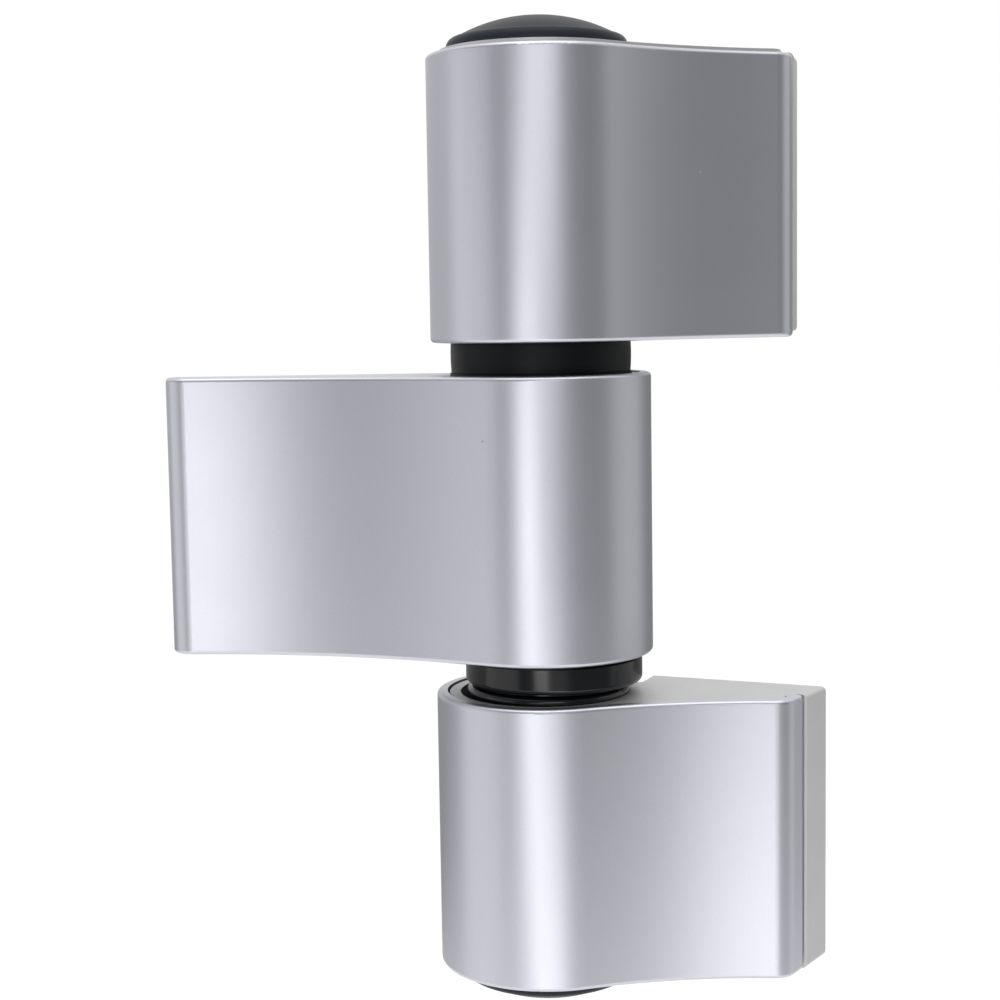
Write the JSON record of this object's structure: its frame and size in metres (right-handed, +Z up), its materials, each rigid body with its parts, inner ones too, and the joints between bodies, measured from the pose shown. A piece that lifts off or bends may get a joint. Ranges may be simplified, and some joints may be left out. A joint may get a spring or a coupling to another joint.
{
  "type": "three-leaf hinge",
  "caption": "Surface-mounted door hinge with knuckles on one pin, curved leaves with clip-on silver covers, black bushes and domed caps.",
  "frame": {"origin": "on the pin's axis, at the middle of the sash leaf's height", "axes": "+Z up along the pin, -X towards the sash leaf's free end, +Y towards the door, so that the front looks along -Y"},
  "size_m": [0.0801, 0.026, 0.1166],
  "materials": {
    "silver_cover": "satin silver lacquer on aluminium",
    "cast_leaf": "matt silver, die cast",
    "black_bush": "satin black acetal",
    "black_cap": "fine-grained black nylon",
    "pin_steel": "ground",
    "screw_steel": "blackened",
    "adjuster_brass": "turned"
  },
  "bodies": {
    "sash_leaf": {"sash_base": "cast_leaf", "sash_cover": "silver_cover", "sash_top_sleeve": "black_bush", "sash_bottom_sleeve": "black_bush", "sash_lock_screw": "screw_steel", "hinge_pin": "pin_steel"},
    "upper_leaf": {"upper_base": "cast_leaf", "upper_cover": "silver_cover", "upper_bush": "black_bush", "upper_cap": "black_cap", "upper_lock_screw": "screw_steel"},
    "lower_leaf": {"lower_base": "cast_leaf", "lower_cover": "silver_cover", "lower_bush": "black_bush", "lower_cap": "black_cap", "lower_lock_screw": "screw_steel", "lower_height_insert": "adjuster_brass", "lower_height_screw": "screw_steel", "lower_thrust_disc": "adjuster_brass"}
  },
  "joints": [
    {"name": "upper_leaf_swing", "type": "hinge", "parent": "sash_leaf", "child": "upper_leaf", "pos_m": [0, 0, 0], "axis": [0, 0, 1], "range_deg": [-178, 2]},
    {"name": "lower_leaf_swing", "type": "hinge", "parent": "sash_leaf", "child": "lower_leaf", "pos_m": [0, 0, 0], "axis": [0, 0, 1], "range_deg": [-158, 22]}
  ]
}
